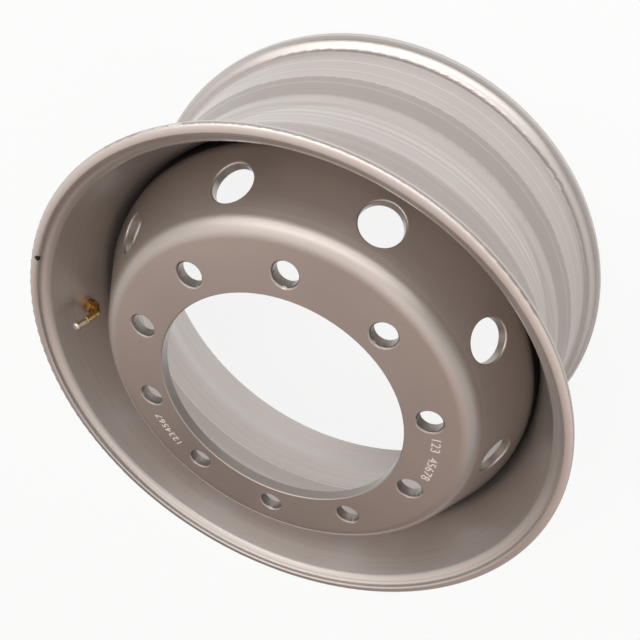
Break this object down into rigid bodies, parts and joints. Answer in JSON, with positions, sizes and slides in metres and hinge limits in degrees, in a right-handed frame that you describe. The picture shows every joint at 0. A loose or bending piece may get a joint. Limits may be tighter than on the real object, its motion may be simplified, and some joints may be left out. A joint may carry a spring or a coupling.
{
  "type": "truck wheel rim",
  "caption": "Steel drop-centre truck wheel with a dished, vented disc welded in, round stud holes around a pilot bore, and a bent brass tyre valve.",
  "frame": {"origin": "centre of the pilot bore, on the disc's hub face (the hollow side)", "axes": "+Z along the wheel axis, out of the convex side of the disc; +X through the centre of one stud hole; the wheel lies on its rear flange"},
  "size_m": [0.5968, 0.5968, 0.261],
  "materials": {
    "silver_paint_rim": "silver-grey satin wheel paint over steel",
    "silver_paint_disc": "silver-grey satin wheel paint over steel",
    "silver_paint_weld": "silver-grey wheel paint over a weld bead",
    "valve_brass": "dull turned brass",
    "valve_rubber": "matt black rubber",
    "washer_brass": "dull brass",
    "nut_brass": "darkened brass",
    "core_brass": "bright brass",
    "seal_rubber": "matt black rubber",
    "cap_nickel": "nickel-plated brass"
  },
  "bodies": {
    "root": {"rim": "silver_paint_rim", "wheel_disc": "silver_paint_disc", "disc_weld": "silver_paint_weld", "valve_stem": "valve_brass", "valve_grommet": "valve_rubber", "valve_washer": "washer_brass", "valve_nut": "nut_brass", "valve_core": "core_brass", "valve_cap_seal": "seal_rubber", "valve_cap": "cap_nickel"}
  },
  "joints": []
}
